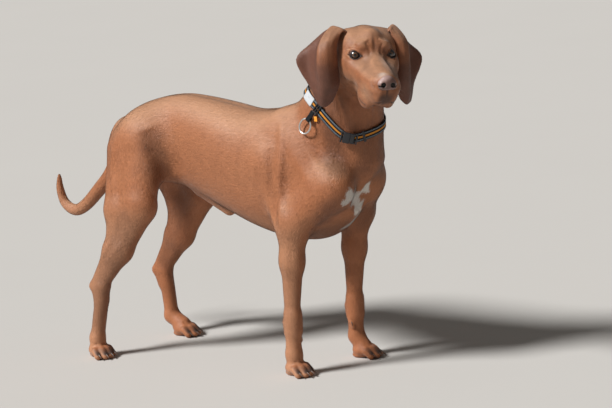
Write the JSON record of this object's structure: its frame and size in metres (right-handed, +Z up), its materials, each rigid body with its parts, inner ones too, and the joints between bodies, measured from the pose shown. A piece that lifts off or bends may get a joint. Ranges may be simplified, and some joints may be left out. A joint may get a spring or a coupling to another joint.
{
  "type": "standing short-coated hound with a collar",
  "caption": "Life-size still model of a short-coated red hound, standing with its head turned to its right, with drop ears, an upturned tail and a webbing collar.",
  "frame": {"origin": "on the floor, under the middle of the outline's bounding box", "axes": "+X the way the body faces, +Y the dog's left, +Z up"},
  "size_m": [1.0608, 0.3066, 0.7812],
  "materials": {
    "coat": "short flat red-brown coat with a soft sheen, a white blaze on the chest",
    "nose": "moist pebbled liver-brown skin",
    "eye": "wet and clear, brown iris",
    "claw": "smooth horn",
    "webbing": "woven black webbing with an orange stripe and grey flecked edges",
    "plastic": "moulded, satin",
    "sleeve": "pale grey woven sleeve",
    "tag": "orange woven tag",
    "steel": "polished welded ring"
  },
  "bodies": {
    "root": {"eye_right": "eye", "eye_left": "eye", "head": "coat", "nose": "nose", "ear_right": "coat", "ear_left": "coat", "neck": "coat", "trunk_chest": "coat", "trunk_belly": "coat", "trunk_rump": "coat", "foreleg_right": "coat", "claw_fore_right_dew": "claw", "claw_fore_right_1": "claw", "claw_fore_right_2": "claw", "claw_fore_right_3": "claw", "claw_fore_right_4": "claw", "paw_fore_right": "coat", "foreleg_left": "coat", "claw_fore_left_dew": "claw", "claw_fore_left_1": "claw", "claw_fore_left_2": "claw", "claw_fore_left_3": "claw", "claw_fore_left_4": "claw", "paw_fore_left": "coat", "thigh_right": "coat", "hock_right": "coat", "claw_hind_right_1": "claw", "claw_hind_right_2": "claw", "claw_hind_right_3": "claw", "claw_hind_right_4": "claw", "paw_hind_right": "coat", "thigh_left": "coat", "hock_left": "coat", "claw_hind_left_1": "claw", "claw_hind_left_2": "claw", "claw_hind_left_3": "claw", "claw_hind_left_4": "claw", "paw_hind_left": "coat", "tail": "coat", "collar_strap": "webbing", "collar_sleeve": "sleeve", "collar_slider": "plastic", "collar_buckle": "plastic", "collar_keeper": "plastic", "collar_loop": "webbing", "collar_ring": "steel", "collar_tag": "tag"}
  },
  "joints": []
}
